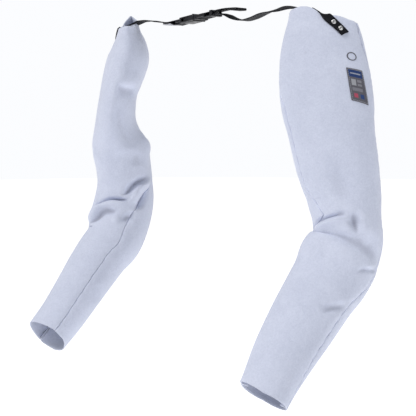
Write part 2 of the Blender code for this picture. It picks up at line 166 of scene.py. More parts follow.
nap_group, nap_in, nap_out = new_group(
    "suede_nap",
    [("Ground", "NodeSocketColor", (0.5, 0.5, 0.6, 1.0)),
     ("Fibre", "NodeSocketColor", (0.7, 0.7, 0.8, 1.0)),
     ("Soil And Shade", "NodeSocketColor", (0.3, 0.3, 0.38, 1.0)),
     ("Hollow Shade", "NodeSocketFloat", 0.0), ("Raised", "NodeSocketFloat", 0.0)],
    [("Color", "NodeSocketColor"), ("Roughness", "NodeSocketFloat"), ("Normal", "NodeSocketVector")])
place = nap_group.nodes.new("ShaderNodeTexCoord").outputs["Object"]
clouds = ranged(nap_group, noise(nap_group, place, 17.0, 4.0, 0.6, 0.4), 0.30, 0.70)
brushed = ranged(nap_group, noise(nap_group, place, 70.0, 3.0, 0.6, 1.2), 0.30, 0.70)
fibres = noise(nap_group, place, 1100.0, 2.0, 0.7)
clumps = noise(nap_group, place, 380.0, 3.0, 0.65)
lift = math_node(nap_group, "ADD", math_node(nap_group, "MULTIPLY", fibres, 0.45),
                 math_node(nap_group, "MULTIPLY", clumps, 0.55))
standing = ranged(nap_group, lift, 0.36, 0.64)
cloudy = math_node(nap_group, "ADD", math_node(nap_group, "MULTIPLY", clouds, 0.28),
                   math_node(nap_group, "MULTIPLY", brushed, 0.22))
mixed = math_node(nap_group, "ADD", math_node(nap_group, "MULTIPLY", standing, 0.50), cloudy)
tone = mix_colour(nap_group, mixed, nap_in.outputs["Ground"], nap_in.outputs["Fibre"])
specks = ranged(nap_group, noise(nap_group, place, 130.0, 2.0, 0.5), 0.70, 0.78)
# specks of dirt, and painted shade where the mesh says the leather dips into a dent or fold
specks_and_shade = math_node(nap_group, "ADD", math_node(nap_group, "MULTIPLY", specks, 0.10),
                   math_node(nap_group, "MULTIPLY", nap_in.outputs["Hollow Shade"], 0.55))
tone = mix_colour(nap_group, specks_and_shade, tone, nap_in.outputs["Soil And Shade"])
# painted highlight towards the fibre colour where the leather stands up, and the paler nap of the raw cut
# edges
tone = mix_colour(nap_group, math_node(nap_group, "MULTIPLY", nap_in.outputs["Raised"], 0.35), tone,
                  nap_in.outputs["Fibre"])
nap_group.links.new(tone, nap_out.inputs["Color"])
nap_group.links.new(ranged(nap_group, brushed, 0.0, 1.0, 0.80, 0.95), nap_out.inputs["Roughness"])
bump = nap_group.nodes.new("ShaderNodeBump")
bump.inputs["Strength"].default_value = 0.55
bump.inputs["Distance"].default_value = 0.0005
nap_group.links.new(math_node(nap_group, "ADD", math_node(nap_group, "MULTIPLY", brushed, 1.3), lift),
                    bump.inputs["Height"])
nap_group.links.new(bump.outputs["Normal"], nap_out.inputs["Normal"])


def suede(name, ground, fibre, soil_and_shade):
    """A nap material; two mesh attributes darken it as painted shade where the leather dips below its
    neighbourhood, and lighten it as a painted highlight where it stands above it and along the raw cut edges,
    whose nap is paler.
    """
    made = bpy.data.materials.new(name)
    made.use_nodes = True
    tree = made.node_tree
    shader = tree.nodes["Principled BSDF"]
    nap = tree.nodes.new("ShaderNodeGroup")
    nap.node_tree = nap_group
    for socket, colour in (("Ground", ground), ("Fibre", fibre), ("Soil And Shade", soil_and_shade)):
        nap.inputs[socket].default_value = (*colour, 1.0)
    for socket, attribute in (("Hollow Shade", "hollow_shade"), ("Raised", "raised")):
        read = tree.nodes.new("ShaderNodeAttribute")
        read.attribute_name = attribute
        tree.links.new(read.outputs["Fac"], nap.inputs[socket])
    tree.links.new(nap.outputs["Color"], shader.inputs["Base Color"])
    tree.links.new(nap.outputs["Roughness"], shader.inputs["Roughness"])
    tree.links.new(nap.outputs["Normal"], shader.inputs["Normal"])
    shader.inputs["Specular IOR Level"].default_value = 0.25
    shader.inputs["Sheen Weight"].default_value = 0.25
    shader.inputs["Sheen Roughness"].default_value = 0.5
    return made


sleeve_suede = suede("sleeve_suede", (0.53, 0.57, 0.71), (0.72, 0.76, 0.90), (0.24, 0.25, 0.33))

# ---------------------------------------------------------------- leather sleeves
# Each sleeve is two long panels of split leather, sewn face to face along two seams and turned, so the seams
# are soft grooves with their allowances inside. Mouth and cuff are raw cut edges. The leather is stiff: it
# keeps broad soft dents in the upper arm and a few deep folds where the elbow is bent.
LEATHER_THICK = 0.0015
SEAM_ROLL = 0.0018        # radius of the turn into a seam
SEAM_ALLOWANCE = 0.008
AROUND_PER_DEGREE = 0.85  # millimetres of leather to a degree round the sleeve
MOUTH_FLATNESS = 0.26     # share by which the mouth is pressed flat between its broad ends
FLATNESS_LOSS = 1.1       # of that share, for each metre down the sleeve

# Sections down each sleeve, in millimetres: centre x, y, z, broad and narrow half-widths
LEFT_ROWS = [
    (200, 3, 14, 42, 13),  # where the mouth's edge rises highest
    (201.5, 1.5, -12, 46.5, 18.5),  # mouth
    (205, -1.5, -40, 54.5, 26),
    (209.5, -5, -73, 60.5, 31),
    (214, -7, -95, 63, 34),  # full upper arm
    (218, -8, -116, 63.5, 34.5),
    (222.5, -8.5, -138, 62.5, 35.5),
    (226, -7.5, -159, 59.5, 38),
    (228, -4, -181, 58, 40),
    (230.5, 0, -203, 57, 42),
    (232.5, 5.5, -225, 55, 44),
    (235, 10.5, -247, 52, 47),
    (237.5, 12, -265, 50, 48.5),  # above the elbow
    (240, 12.5, -282, 47.5, 50),
    (243.5, 9.5, -313, 49.5, 49),  # elbow
    (239.5, -4.5, -340, 55, 43),
    (237, -17, -361, 53, 44),  # full top of the forearm
    (234, -36.5, -382, 50, 45.5),
    (231, -72, -419.5, 46.5, 43),
    (230.5, -108.5, -456, 41.5, 40),
    (232, -144, -495, 35.5, 36),  # cuff
    (232.5, -150, -501.5, 35, 35),
]
RIGHT_ROWS = [
    (-202.5, 0, 22, 40, 9),  # where the mouth's edge rises highest
    (-203.5, 0.5, 2, 45, 15),  # mouth, pinched flat
    (-204, 0.5, -11, 47, 19),
    (-204.5, 2, -30.5, 52, 27.5),
    (-206.5, 2, -50.5, 57, 33.5),
    (-211.5, -1.5, -70.5, 60, 34.5),  # swell below the mouth
    (-217, -5, -90, 63, 33),
    (-222.5, -8, -110.5, 63.5, 31),  # waist of the upper arm
    (-226.5, -9, -130.5, 63, 31.5),
    (-231, -8.5, -157.5, 61, 34),
    (-234.5, -3.5, -185, 56.5, 41.5),
    (-235, 5, -209.5, 51, 48),  # full above the elbow
    (-236.5, 11.5, -235.5, 51, 47.5),
    (-237, 15, -262, 51, 47.5),
    (-237.5, 14.5, -290, 50, 50.5),  # elbow
    (-236, 2, -330, 49, 52),
    (-233.5, -15, -364, 48.5, 48.5),
    (-235, -38.5, -386, 47.5, 45.5),
    (-234.5, -62, -409.5, 46, 43.5),
    (-232.5, -95, -443.5, 43.5, 40),
    (-234, -128, -480, 40, 37),
    (-239, -150.5, -505, 38, 35.5),  # cuff
]
SHOULDER_ROW = 1          # depth is measured down the sleeve from this row

# Where the outer and the inner seam run: depth in millimetres, then degrees round the sleeve. 0 is the outer
# end of the broad axis, 90 the middle of the front and 180 the inner end. Each sleeve is twisted a little.
LEFT_SEAMS = [(-40, 12, 190), (28, 24, 190), (62, 9, 186), (84, 5, 182), (106, 2, 178), (122, 2, 162),
              (160, 5, 160), (205, 8, 158), (240, 8, 151), (262, 9, 142), (276, 10, 134), (292, 12, 192),
              (340, 18, 200), (395, 30, 200), (440, 30, 200), (486, 24, 200), (560, 8, 190)]
RIGHT_SEAMS = [(-40, 60, 240), (13, 66, 246), (33, 76, 256), (53, 86, 266), (74, 92, 272), (250, 92, 271),
               (270, 78, 258), (288, 55, 235), (306, 42, 222), (326, 25, 205), (364, 14, 195), (394, 8, 188),
               (444, 10, 190), (600, 7, 187)]


def smooth_through(knots, rows, at):
    """Rows of values on a smooth curve through the given ones, at any array of places."""
    slopes = np.gradient(rows, knots, axis=0)
    at = np.asarray(at, float)
    k = np.clip(np.searchsorted(knots, at, side="right") - 1, 0, len(knots) - 2)
    span = (knots[k + 1] - knots[k])[..., None]
    t = ((at - knots[k])[..., None]) / span
    return ((2 * t**3 - 3 * t**2 + 1) * rows[k] + (t**3 - 2 * t**2 + t) * span * slopes[k]
            + (3 * t**2 - 2 * t**3) * rows[k + 1] + (t**3 - t**2) * span * slopes[k + 1])


def unit(vectors):
    return vectors / np.linalg.norm(vectors, axis=-1, keepdims=True)


def over_line(depth, around, path, above, below):
    """1 on a line drawn on the sleeve, falling off to each side and towards both of its ends.

    depth and around are in millimetres; path is (millimetres, degrees) pairs, in rising degrees.
    """
    points = np.array([(d, a * AROUND_PER_DEGREE) for d, a in path], float)
    if len(points) > 2:
        bends = np.arange(len(points), dtype=float)
        points = smooth_through(bends, points, np.linspace(0.0, bends[-1], 4 * len(points)))
    lengths = np.linalg.norm(np.diff(points, axis=0), axis=1)
    reached = np.concatenate([[0.0], np.cumsum(lengths)])
    best = np.full(depth.shape, 1e9)
    side, along = np.zeros(depth.shape), np.zeros(depth.shape)
    for k, (start, stop) in enumerate(zip(points, points[1:])):
        run = (stop - start) / lengths[k]
        away_d, away_a = depth - start[0], around - start[1]
        t = np.clip(away_d * run[0] + away_a * run[1], 0.0, lengths[k])
        off_d, off_a = away_d - run[0] * t, away_a - run[1] * t
        distance = np.hypot(off_d, off_a)
        nearer = distance < best
        best = np.where(nearer, distance, best)
        side = np.where(nearer, off_d * run[1] - off_a * run[0], side)
        along = np.where(nearer, reached[k] + t, along)
    ends = np.sin(math.pi * np.clip(along / reached[-1], 0.0, 1.0))
    width = np.where(side < 0.0, above, below) * (0.55 + 0.45 * ends)
    return np.exp(-(best / width)**2) * ends**0.8


# Folds: path down and round the sleeve, height (a valley is negative), reach above and below the line
LEFT_FOLDS = [
    ([(291, 168), (289, 142), (283, 118), (272, 95)], 7.5, 5, 13),    # roll of leather over the inner bend
    ([(279, 168), (277, 142), (271, 118), (263, 98)], -7.5, 10, 5),   # deep valley that it overhangs
    ([(266, 93), (282, 87), (300, 79)], -7.0, 6, 8),                  # pocket at the roll's end
    ([(262, 76), (286, 68), (312, 60)], 3.0, 9, 9),
    # valley over the elbow
    ([(298, 150), (304, 124), (309, 100), (311, 72), (314, 42), (318, 10)], -8.0, 11, 13),
    ([(334, 120), (338, 86), (342, 56)], 3.0, 10, 16),
    ([(350, 64), (338, 46), (324, 4)], -3.0, 3, 5),
    ([(334, 60), (326, 30)], 2.0, 8, 8),
    ([(418, 76), (402, 60), (391, 42)], 3.4, 9, 7),                       # small arch at the outer seam
    ([(430, 68), (412, 54), (398, 34)], -5.0, 6, 16),
    ([(345, 172), (352, 150), (356, 120)], 3.0, 22, 30),                  # full roll of the forearm's top
    ([(170, 92), (212, 98), (256, 94)], -4.4, 15, 20),                    # long soft dent above the elbow
    ([(190, 128), (235, 138)], 1.6, 18, 18),
    ([(118, 140), (126, 110)], -1.2, 20, 24),
    ([(440, 120), (470, 140)], -1.4, 22, 22),
    ([(300, 300), (296, 250), (292, 215)], -5.0, 10, 14),                 # folds on the hidden back
    ([(322, 320), (318, 262), (312, 222)], 4.0, 12, 14),
    ([(345, 330), (340, 270)], -4.0, 12, 12),
]

# Lips: the same, but the leather is drawn up the sleeve, so that a roll overhangs the valley above it
LEFT_LIPS = [([(291, 168), (289, 142), (283, 118), (275, 98)], 8.0, 7, 11)]
RIGHT_FOLDS = [
    ([(348, 96), (344, 122), (326, 158), (316, 192)], 8.5, 6, 8),         # main roll across the inner bend
    ([(334, 112), (330, 138), (315, 162), (306, 192)], -9.5, 8, 5),
    ([(362, 96), (353, 126), (339, 150), (336, 176)], -9.5, 5, 9),
    # roll that climbs to the seam
    ([(316, 190), (300, 204), (284, 212), (272, 236), (270, 256)], 7.0, 6, 8),
    ([(296, 182), (286, 192), (274, 208), (264, 240)], -9.0, 8, 5),
    ([(322, 204), (312, 216), (298, 226), (282, 240)], -10.0, 5, 6),       # deep crease beside the seam
    ([(352, 186), (342, 196), (330, 206)], -6.0, 7, 8),
    ([(352, 166), (350, 184)], 3.6, 7, 8),
    ([(384, 96), (376, 106)], -4.0, 10, 10),
    ([(352, 92), (346, 74), (340, 40)], 6.5, 12, 16),                     # bulge of the front at the bend
    ([(98, 178), (104, 214), (102, 250)], -5.0, 7, 16),                   # shoulder of the big dent
    ([(84, 170), (88, 214), (84, 256)], 3.0, 14, 12),
    ([(118, 214), (150, 208), (205, 222)], -5.0, 20, 20),                 # long dent down the upper arm
    ([(215, 226), (236, 208)], -3.0, 12, 14),
    ([(200, 250), (228, 268)], 5.0, 12, 12),                              # corner that stands out behind
    ([(196, 96), (200, 120)], 2.4, 16, 18),
    ([(240, 150), (262, 132)], 1.8, 14, 14),
    ([(470, 215), (500, 235)], -1.4, 20, 20),
    ([(300, 300), (306, 340)], -4.0, 12, 14),
    ([(330, 290), (338, 335)], 4.0, 12, 14),
]
RIGHT_LIPS = [
    ([(346, 100), (342, 124), (325, 158), (316, 190)], 6.5, 7, 9),
    ([(314, 194), (298, 205), (284, 213), (272, 240)], 5.0, 7, 8),
]

# Cut edges: degrees round the sleeve, then how far the mouth stands up or the cuff hangs down, in millimetres
LEFT_MOUTH = [(0, -20), (45, -15), (60, -11), (75, -9.5), (92, -11), (100, -5), (107, 0), (120, 3.5),
              (135, 4), (150, 2), (180, -2), (210, -8), (270, -12), (320, -18), (360, -20)]
RIGHT_MOUTH = [(0, 16), (20, 16), (50, 8), (75, -4), (92, -7), (110, -6), (150, -4), (180, -3), (210, -2.5),
               (235, 1), (270, 7), (297, 9), (318, 11.5), (347, 15), (360, 16)]
LEFT_CUFF = [(0, 2), (90, 5), (180, -5), (270, -6), (360, 2)]
RIGHT_CUFF = [(0, 13), (90, 3), (180, -8), (225, -5), (270, 7), (315, 13), (360, 13)]


class Sleeve:
    """One sleeve's outer surface, read by depth in metres and place round it in degrees."""

    def __init__(self, side, rows, seams, folds, lips, mouth, cuff):
        self.side, self.folds, self.lips = side, folds, lips
        self.rows = np.array(rows, float)
        self.rows[:, :5] *= 0.001
        steps = np.linalg.norm(np.diff(self.rows[:, :3], axis=0), axis=1)
        self.knots = np.concatenate([[0.0], np.cumsum(steps)])
        self.knots -= self.knots[SHOULDER_ROW]
        self.length = self.knots[-1]
        self.seam_rows = np.array(seams, float)
        self.edges = []
        for ends in (mouth, cuff):
            at, height = np.array(ends, float).T
            around = np.interp(np.arange(0.0, 360.0, 2.0), at, height)
            for _ in range(6):
                around = (np.roll(around, 1) + 2.0 * around + np.roll(around, -1)) / 4.0
            self.edges.append(np.append(around, around[0]))

    def seams(self, depth):
        """Degrees of the outer and the inner seam, with the bends of their lines rounded off."""
        shifts = np.linspace(-0.006, 0.006, 7)
        return tuple(np.mean([np.interp((depth + d) * 1000.0, self.seam_rows[:, 0], self.seam_rows[:, k])
                              for d in shifts], axis=0) for k in (1, 2))

    def cut_edge(self, degrees, end):
        """How far the mouth's edge (end 0) stands up, or the cuff's (end 1) hangs down, in metres."""
        return np.interp(np.asarray(degrees) % 360.0, np.arange(0.0, 361.0, 2.0), self.edges[end]) * 0.001

    def mouth_depth(self, degrees):
        return self.rows[SHOULDER_ROW, 2] - self.cut_edge(degrees, 0)

    def axes(self, depth):
        centre = smooth_through(self.knots, self.rows[:, :3], depth)
        step = 0.006
        down = unit(smooth_through(self.knots, self.rows[:, :3], depth + step)
                    - smooth_through(self.knots, self.rows[:, :3], depth - step))
        broad = np.array((self.side * math.cos(math.radians(45)), math.sin(math.radians(45)), 0.0))
        broad = unit(broad - down * (down @ broad)[..., None])
        return centre, down, broad, np.cross(down, broad) * self.side

    def skin(self, depth, degrees):
        """Points of the outer face."""
        depth, degrees = np.broadcast_arrays(np.asarray(depth, float), np.asarray(degrees, float))
        centre, down, broad, narrow = self.axes(depth)
        half = smooth_through(self.knots, self.rows[:, 3:5], depth)
        turn = np.radians(degrees)
        flat = np.clip(MOUTH_FLATNESS - depth * FLATNESS_LOSS, 0.0, MOUTH_FLATNESS)
        u = half[..., 0] * np.cos(turn)
        v = half[..., 1] * np.sin(turn) * (1.0 - flat * np.cos(turn)**2)
        out = unit((half[..., 1] * np.cos(turn))[..., None] * broad
                   + (half[..., 0] * np.sin(turn))[..., None] * narrow)
        mm, around = depth * 1000.0, (degrees % 360.0) * AROUND_PER_DEGREE
        lift = np.zeros(depth.shape)
        for path, height, above, below in self.folds:
            lift += height * over_line(mm, around, path, above, below)
        lip = np.zeros(depth.shape)
        for path, height, above, below in self.lips:
            lip += height * over_line(mm, around, path, above, below)
        return (centre + broad * u[..., None] + narrow * v[..., None]
                + out * (lift * 0.001)[..., None] - down * (lip * 0.001)[..., None])

    def facing(self, depth, degrees):
        """A point, the direction of rising degrees and the outward direction there."""
        ahead, behind = self.skin(depth, degrees + 0.8), self.skin(depth, degrees - 0.8)
        lower, upper = self.skin(depth + 0.0012, degrees), self.skin(depth - 0.0012, degrees)
        tangent = unit(ahead - behind)
        out = unit(np.cross(tangent, lower - upper)) * self.side
        return self.skin(depth, degrees), tangent, out


left_sleeve = Sleeve(1, LEFT_ROWS, LEFT_SEAMS, LEFT_FOLDS, LEFT_LIPS, LEFT_MOUTH, LEFT_CUFF)
right_sleeve = Sleeve(-1, RIGHT_ROWS, RIGHT_SEAMS, RIGHT_FOLDS, RIGHT_LIPS, RIGHT_MOUTH, RIGHT_CUFF)

ROWS_DOWN = 236
MAIN_COLUMNS = 62
ROLL_COLUMNS = 3
FULL_STAND = 0.0030       # above or below its neighbourhood, where the painted highlight or the painted shade is strongest


def depth_rows(sleeve, degrees):
    """Depth of every row of a column that lies at these degrees, one for each row, from mouth to cuff."""
    share = np.linspace(0.0, 1.0, ROWS_DOWN)
    return (sleeve.mouth_depth(degrees) * (1.0 - share)**3 * (1.0 + 3.0 * share) + sleeve.length * share
            + sleeve.cut_edge(degrees, 1) * share**4)


def add_attribute(mesh, name, values):
    made = mesh.attributes.new(name, "FLOAT", "POINT")
    made.data.foreach_set("value", np.asarray(values, np.float32).ravel())


def seam_pull(depth, face):
    """How far the stitches draw the leather in beside a seam; it comes and goes with their tension."""
    return 0.0006 + 0.0003 * np.sin(depth * 310.0 + face) + 0.0002 * np.sin(depth * 743.0)


def leather_panel(name, sleeve, face):
    """One panel, from seam allowance to seam allowance. face is 1 for the front and -1 for the back."""
    share = np.linspace(0.0, 1.0, ROWS_DOWN)
    spine = sleeve.length * share
    outer, inner = sleeve.seams(spine)
    first, last = (outer, inner) if face > 0 else (inner, outer + 360.0)
    columns = []
    inset = SEAM_ROLL / (AROUND_PER_DEGREE * 0.001)      # degrees taken by the turn into a seam

    def seam_columns(angle, sign):
        """Points from the end of the allowance up to the outer face. sign is 1 where the panel starts."""
        depth = depth_rows(sleeve, angle)
        point, tangent, out = sleeve.facing(depth, angle)
        tangent = tangent * sign
        point = point - out * seam_pull(depth, face)[:, None]
        made = []
        for deep in (SEAM_ALLOWANCE, SEAM_ALLOWANCE * 0.62, SEAM_ALLOWANCE * 0.3):
            sway = 0.0003 * deep / SEAM_ALLOWANCE
            made.append(point - out * (SEAM_ROLL + deep) + tangent * (0.0001 + sway))
        for k in range(ROLL_COLUMNS):
            a = math.radians(90.0 * (1.0 - k / ROLL_COLUMNS))
            made.append(point + (tangent - out) * SEAM_ROLL + out * (SEAM_ROLL * math.cos(a))
                        - tangent * (SEAM_ROLL * math.sin(a) - 0.0001))
        return made

    columns += seam_columns(first, 1)
    for c in np.linspace(0.0, 1.0, MAIN_COLUMNS):
        degrees = first + inset + (last - first - 2.0 * inset) * c
        depth = depth_rows(sleeve, degrees)
        point, _, out = sleeve.facing(depth, degrees)
        edge = min(c, 1.0 - c) * MAIN_COLUMNS
        columns.append(point - out * (seam_pull(depth, face) * math.exp(-(edge / 1.6)**2))[:, None])
    columns += seam_columns(last, -1)[::-1]
    grid = np.array(columns)             # columns, rows, 3
    wide, tall = grid.shape[:2]
    index = np.arange(wide * tall).reshape(wide, tall)
    quads = np.stack([index[:-1, :-1], index[1:, :-1], index[1:, 1:], index[:-1, 1:]], axis=-1)
    quads = quads.reshape(-1, 4)
    if sleeve.side < 0:
        quads = quads[:, ::-1]
    mesh = bpy.data.meshes.new(name)
    mesh.from_pydata(grid.reshape(-1, 3).tolist(), [], quads.tolist())
    mesh.update()
    obj = bpy.data.objects.new(name, mesh)
    bpy.context.scene.collection.objects.link(obj)

    # how far each point lies below or above its neighbourhood, for the painted shade in dents and folds and
    # the painted highlight on ridges
    soft = grid.copy()
    for _ in range(26):
        soft[1:-1] = (soft[:-2] + soft[1:-1] * 2 + soft[2:]) / 4
        soft[:, 1:-1] = (soft[:, :-2] + soft[:, 1:-1] * 2 + soft[:, 2:]) / 4
    normals = np.zeros(wide * tall * 3)
    mesh.vertex_normals.foreach_get("vector", normals)
    stand = ((grid - soft) * normals.reshape(wide, tall, 3)).sum(-1)
    # darker where the leather dips: painted shade in dents and folds
    add_attribute(mesh, "hollow_shade", np.clip(-stand / FULL_STAND, 0.0, 1.0))
    # painted highlight on ridges, plus the paler nap of the raw cut edges, which is their own colour
    rows_from_cut = np.minimum(np.arange(tall), tall - 1 - np.arange(tall))[None, :]
    cut_nap = 0.8 * np.exp(-(rows_from_cut / 1.2)**2)
    add_attribute(mesh, "raised", np.clip(stand / FULL_STAND, 0.0, 1.0) + cut_nap)
    mesh.materials.append(sleeve_suede)
    for polygon in mesh.polygons:
        polygon.use_smooth = True
    shell = obj.modifiers.new("thickness", "SOLIDIFY")
    shell.thickness = LEATHER_THICK
    shell.offset = -1.0
    bpy.context.view_layer.objects.active = obj
    bpy.ops.object.modifier_apply(modifier=shell.name)
    return obj


for word, sleeve in (("left", left_sleeve), ("right", right_sleeve)):
    for face_word, face in (("front", 1), ("back", -1)):
        piece = leather_panel(f"{word}_{face_word}_leather", sleeve, face)
        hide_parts(f"{word}_{face_word}_upper_panel", f"{word}_{face_word}_forearm_panel")
        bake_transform(piece)

# ---------------------------------------------------------------- webbing weave
# The strap is black polypropylene webbing, 20 mm wide: fat flat warp yarns that run along it and pass over
# and under the weft in turn, with a tighter selvedge at each edge. Its maps are in metres along and across.
weave_group, weave_in, weave_out = new_group(
    "webbing_weave",
    [("Warp Pitch", "NodeSocketFloat", 0.00125), ("Weft Pitch", "NodeSocketFloat", 0.0021)],
    [("Raised", "NodeSocketFloat"), ("Fuzz", "NodeSocketFloat"), ("Normal", "NodeSocketVector")])
flat_place = weave_group.nodes.new("ShaderNodeUVMap").outputs["UV"]
apart = weave_group.nodes.new("ShaderNodeSeparateXYZ")
weave_group.links.new(flat_place, apart.inputs[0])
yarn = math_node(weave_group, "DIVIDE", apart.outputs["Y"], weave_in.outputs["Warp Pitch"])
pick = math_node(weave_group, "DIVIDE", apart.outputs["X"], weave_in.outputs["Weft Pitch"])
shifted = math_node(weave_group, "MULTIPLY_ADD", math_node(weave_group, "FLOOR", yarn), 0.5, pick)
over = math_node(weave_group, "SINE", math_node(weave_group, "MULTIPLY", math_node(
    weave_group, "FRACT", shifted), math.pi))
round_yarn = math_node(weave_group, "SINE", math_node(weave_group, "MULTIPLY", math_node(
    weave_group, "FRACT", yarn), math.pi))
woven = math_node(weave_group, "MULTIPLY", math_node(weave_group, "POWER", over, 0.6),
                  math_node(weave_group, "POWER", round_yarn, 0.5))
fuzz = noise(weave_group, flat_place, 900.0, 3.0, 0.7)
weave_bump = weave_group.nodes.new("ShaderNodeBump")
weave_bump.inputs["Strength"].default_value = 0.8
weave_bump.inputs["Distance"].default_value = 0.0004
weave_group.links.new(math_node(weave_group, "MULTIPLY_ADD", fuzz, 0.25, woven),
                      weave_bump.inputs["Height"])
weave_group.links.new(woven, weave_out.inputs["Raised"])
weave_group.links.new(fuzz, weave_out.inputs["Fuzz"])
weave_group.links.new(weave_bump.outputs["Normal"], weave_out.inputs["Normal"])


def woven_material(name, dark, light, warp_pitch, weft_pitch):
    """A woven material between two colours. Returns it, its tree, its shader and its colour."""
    made = bpy.data.materials.new(name)
    made.use_nodes = True
    tree = made.node_tree
    shader = tree.nodes["Principled BSDF"]
    weave = tree.nodes.new("ShaderNodeGroup")
    weave.node_tree = weave_group
    weave.inputs["Warp Pitch"].default_value = warp_pitch
    weave.inputs["Weft Pitch"].default_value = weft_pitch
    raised = math_node(tree, "MULTIPLY_ADD", weave.outputs["Fuzz"], 0.3,
                       math_node(tree, "MULTIPLY", weave.outputs["Raised"], 0.7))
    colour = mix_colour(tree, raised, (*dark, 1.0), (*light, 1.0))
    tree.links.new(colour, shader.inputs["Base Color"])
    tree.links.new(weave.outputs["Normal"], shader.inputs["Normal"])
    shader.inputs["Roughness"].default_value = 0.55
    shader.inputs["Specular IOR Level"].default_value = 0.12
    return made, tree, shader, colour


black_webbing = woven_material("black_webbing", (0.002, 0.002, 0.003), (0.013, 0.014, 0.020),
                               0.00125, 0.0021)[0]

# ---------------------------------------------------------------- strap
# One length of webbing from each sleeve's mouth to the buckle. The right one is sewn back on itself round
# the socket's rear bar; the left one runs round the plug's adjuster bar into a free tail with a turned hem.
# At each mouth the strap folds over the front edge at a slant, edges tucked under, and is riveted outside.
WEB_WIDTH, WEB_THICK = 0.020, 0.0012
BUCKLE_AT = Vector((-0.0476, 0.011, 0.0045))
BUCKLE_PITCH = math.radians(7)
ADJUSTER_BAR = 0.0098                            # along the buckle
PLUG_REACH = 0.0015 + 0.0003 + WEB_THICK / 2     # from the bar's middle to the webbing's
REAR_BAR = (-0.0415, -0.0370)
SOCKET_REACH = 0.0018 + 0.0003 + WEB_THICK / 2
TAIL = [(0.000, 0.0115, 0.0129), (0.012, 0.0125, 0.0140), (0.026, 0.0135, 0.0142), (0.038, 0.0140, 0.0138)]
HEM_RADIUS, HEM_LENGTH = 0.0013, 0.012
LEFT_STRAND = [
    (0.000, 0.0115, 0.0079), (0.012, 0.0125, 0.0048), (0.025, 0.0135, -0.0008), (0.042, 0.0145, -0.0045),
    (0.062, 0.0140, -0.0025), (0.085, 0.0125, 0.0032), (0.110, 0.0110, 0.0070), (0.135, 0.0085, 0.0074),
    (0.160, 0.0055, 0.0046), (0.176, 0.0030, 0.0010),
]
RIGHT_STRAND = [(-0.110, 0.0110, 0.0000), (-0.135, 0.0090, 0.0020), (-0.160, 0.0055, 0.0055),
                (-0.176, 0.0030, 0.0050)]
FOLD_BACK_TO, BACKING_THICK = -0.1225, 0.0016
FOLD_AT = 0.000           # place of the diagonal fold along the mouth's broad axis
FOLD_TURN = math.radians(50)          # between the strap's end and the mouth's edge
STRAP_LIFT = 0.0013
END_WIDTH, END_LENGTH, END_START = 0.0112, 0.0365, -0.014
END_THICK = 0.0019        # two layers where the edges are tucked under
ACROSS = np.linspace(-0.5, 0.5, 9)
TWIST = 24.0              # degrees that the left strap turns, front edge down
TWIST_AT, TWIST_REACH = 0.119, 0.024


def route_through(points, step=0.0025):
    """Points at even steps on a smooth curve through the given ones."""
    rows = np.array([tuple(point) for point in points], float)
    knots = np.concatenate([[0.0], np.cumsum(np.linalg.norm(np.diff(rows, axis=0), axis=1))])
    return smooth_through(knots, rows, np.linspace(0.0, knots[-1], max(3, int(knots[-1] / step) + 1)))


def level_rows(route, tilt=0.0):
    """Rows across the strap at each point, square to X. tilt drops the front edge by so many degrees."""
    lean = np.radians(np.broadcast_to(tilt, len(route)))
    cross = np.stack([np.zeros(len(route)), np.cos(lean), np.sin(lean)], axis=-1)
    middle = np.array([tuple(point) for point in route])[:, None]
    return middle + WEB_WIDTH * ACROSS[None, :, None] * cross[:, None]


def buckle_point(u, w):
    along = Vector((math.cos(BUCKLE_PITCH), 0.0, math.sin(BUCKLE_PITCH)))
    up = Vector((-math.sin(BUCKLE_PITCH), 0.0, math.cos(BUCKLE_PITCH)))
    return BUCKLE_AT + along * u + up * w


def round_bar(centre, reach, towards, start):
    """Half a turn round a bar of the buckle; start is 1 from above and -1 from below."""
    return [buckle_point(centre + towards * reach * math.sin(a), start * reach * math.cos(a))
            for a in np.radians(np.arange(0.0, 181.0, 15.0))]


def strip(name, rows, finish, thick=WEB_THICK):
    """A closed band along rows of points on its middle surface, with round edges and cut ends."""
    rows = np.array(rows, float)
    count, wide = rows.shape[:2]
    lengths = np.linalg.norm(np.diff(rows[:, wide // 2], axis=0), axis=1)
    along = np.concatenate([[0.0], np.cumsum(lengths)])
    run, cross = np.gradient(rows, axis=0), unit(np.gradient(rows, axis=1))
    out = unit(np.cross(run, cross))
    half = np.broadcast_to(np.asarray(thick, float).reshape(-1, 1, 1) / 2, (count, 1, 1))
    from_edge = np.minimum(np.arange(wide), np.arange(wide)[::-1])
    selvedge = 1.0 + 0.18 * np.exp(-(from_edge / 0.7)**2)[None, :, None]
    face = rows + out * half * selvedge
    back = rows - out * half * selvedge
    low, high = rows[:, :1] - cross[:, :1] * half, rows[:, -1:] + cross[:, -1:] * half
    ring = np.concatenate([low, face, high, back[:, ::-1]], axis=1)
    places = np.linalg.norm(rows - rows[:, :1], axis=-1)
    edge = half[:, :, 0]
    ring_across = np.concatenate([-edge, places, places[:, -1:] + edge, places[:, ::-1]], axis=1)
    around = ring.shape[1]
    index = np.arange(count * around).reshape(count, around)
    nxt = np.roll(index, -1, axis=1)
    quads = np.stack([index[:-1], nxt[:-1], nxt[1:], index[1:]], axis=-1).reshape(-1, 4).tolist()
    mesh = bpy.data.meshes.new(name)
    ends = [index[0, ::-1].tolist(), index[-1].tolist()]
    mesh.from_pydata(ring.reshape(-1, 3).tolist(), [], quads + ends)
    uv = np.stack([np.broadcast_to(along[:, None], ring_across.shape), ring_across], axis=-1).reshape(-1, 2)
    layer = mesh.uv_layers.new(name="UVMap")
    corners = np.empty(len(mesh.loops), int)
    mesh.loops.foreach_get("vertex_index", corners)
    layer.data.foreach_set("uv", uv[corners].astype(np.float32).ravel())
    made = bmesh.new()
    made.from_mesh(mesh)
    bmesh.ops.recalc_face_normals(made, faces=made.faces)
    made.to_mesh(mesh)
    made.free()
    mesh.materials.append(finish)
    obj = bpy.data.objects.new(name, mesh)
    bpy.context.scene.collection.objects.link(obj)
    for polygon in mesh.polygons:
        polygon.use_smooth = len(polygon.vertices) == 4
    return obj


